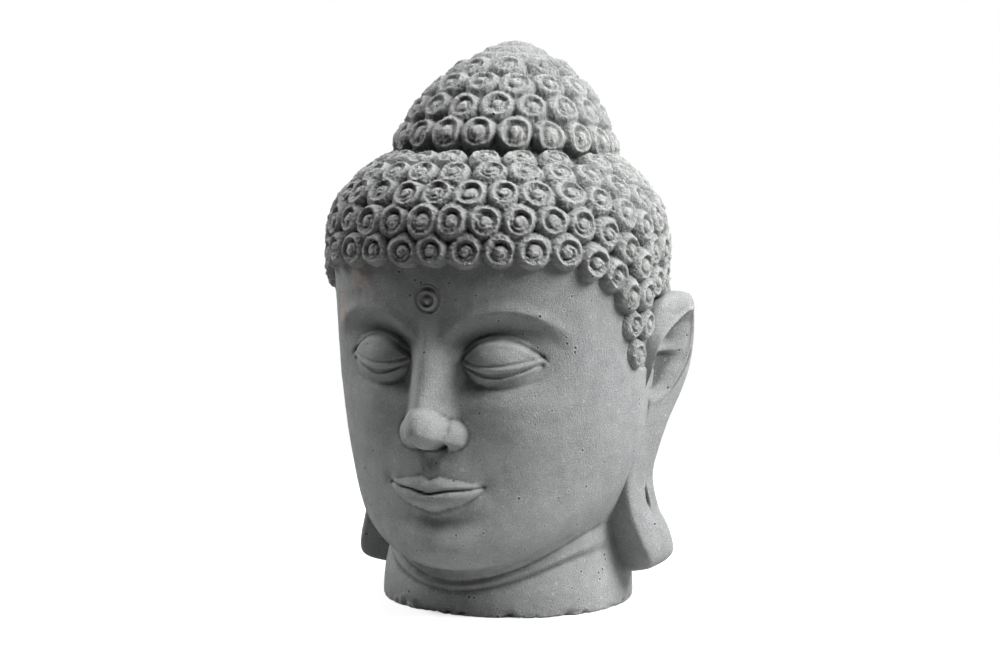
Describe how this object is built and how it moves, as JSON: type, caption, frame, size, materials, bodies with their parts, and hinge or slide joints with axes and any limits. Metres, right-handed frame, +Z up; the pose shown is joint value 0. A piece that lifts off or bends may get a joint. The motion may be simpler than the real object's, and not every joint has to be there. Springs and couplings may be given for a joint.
{
  "type": "stone buddha head",
  "caption": "Carved stone Buddha head with snail-shell curls, a domed topknot and long ear lobes, cut flat under the neck so that it stands on its own.",
  "frame": {"origin": "middle of the flat underside of the neck", "axes": "+Z up through the topknot, the face looks along -Y, the head's own left ear is towards +X"},
  "size_m": [0.3276, 0.3301, 0.5],
  "materials": {
    "stone": "matt grey volcanic stone, finely pitted and weathered, darker in the grooves"
  },
  "bodies": {
    "root": {"head": "stone"}
  },
  "joints": []
}
